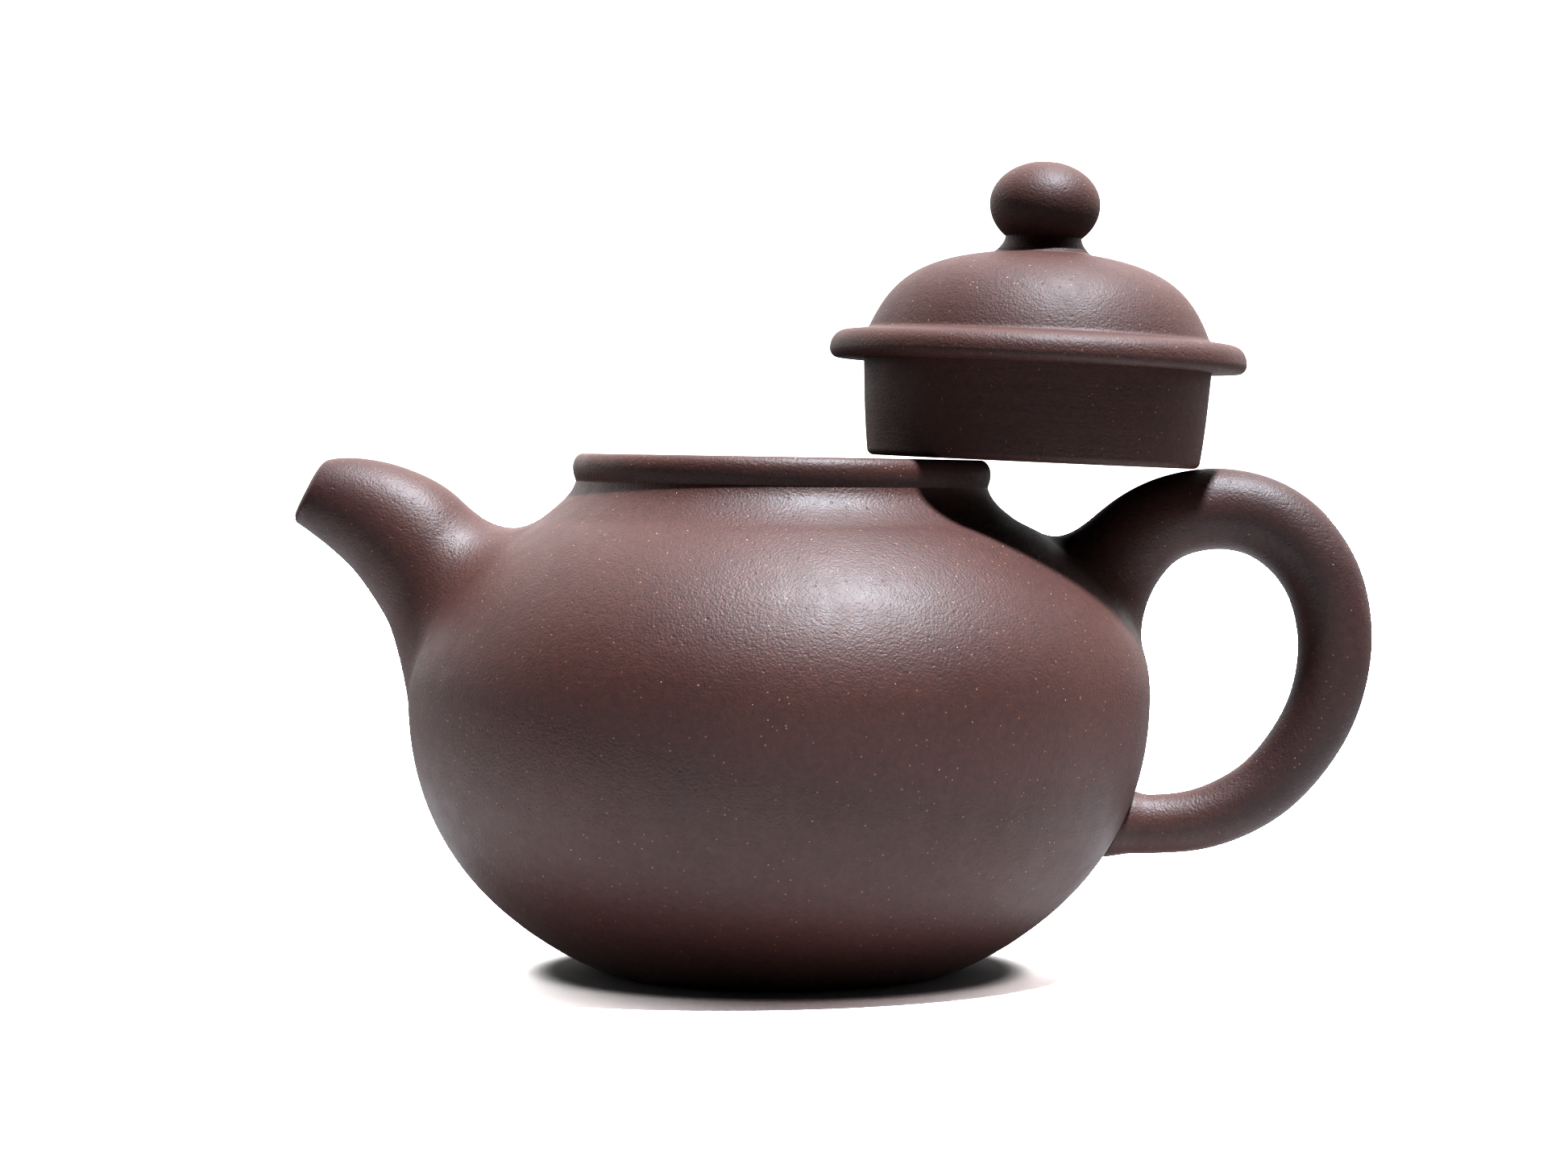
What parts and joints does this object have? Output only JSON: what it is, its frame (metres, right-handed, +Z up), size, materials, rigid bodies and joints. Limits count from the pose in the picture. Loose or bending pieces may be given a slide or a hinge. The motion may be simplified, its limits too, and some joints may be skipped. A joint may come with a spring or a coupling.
{
  "type": "teapot",
  "caption": "Round unglazed clay teapot with a short spout, a loop handle and a knobbed lid that lies propped between the mouth rim and the handle.",
  "frame": {"origin": "centre of the flat base, on the pot's axis, where it stands", "axes": "+Z up along the pot's axis, +X towards the handle, spout towards -X"},
  "size_m": [0.1256, 0.086, 0.0947],
  "materials": {
    "purple_clay": "unglazed fired stoneware, dark purplish brown, fine sandy grain, satin"
  },
  "bodies": {
    "pot": {"base_disc": "purple_clay", "body_wall": "purple_clay", "shoulder_disc": "purple_clay", "neck_ring": "purple_clay", "mouth_bead": "purple_clay", "spout": "purple_clay", "strainer_dome": "purple_clay", "handle": "purple_clay"},
    "lid": {"lid_skirt": "purple_clay", "lid_flange": "purple_clay", "lid_dome": "purple_clay", "knob_stem": "purple_clay", "knob": "purple_clay"}
  },
  "joints": [
    {"name": "lid_lift", "type": "slide", "parent": "pot", "child": "lid", "axis": [0, 0, 1], "range_m": [0, 0.06]}
  ]
}
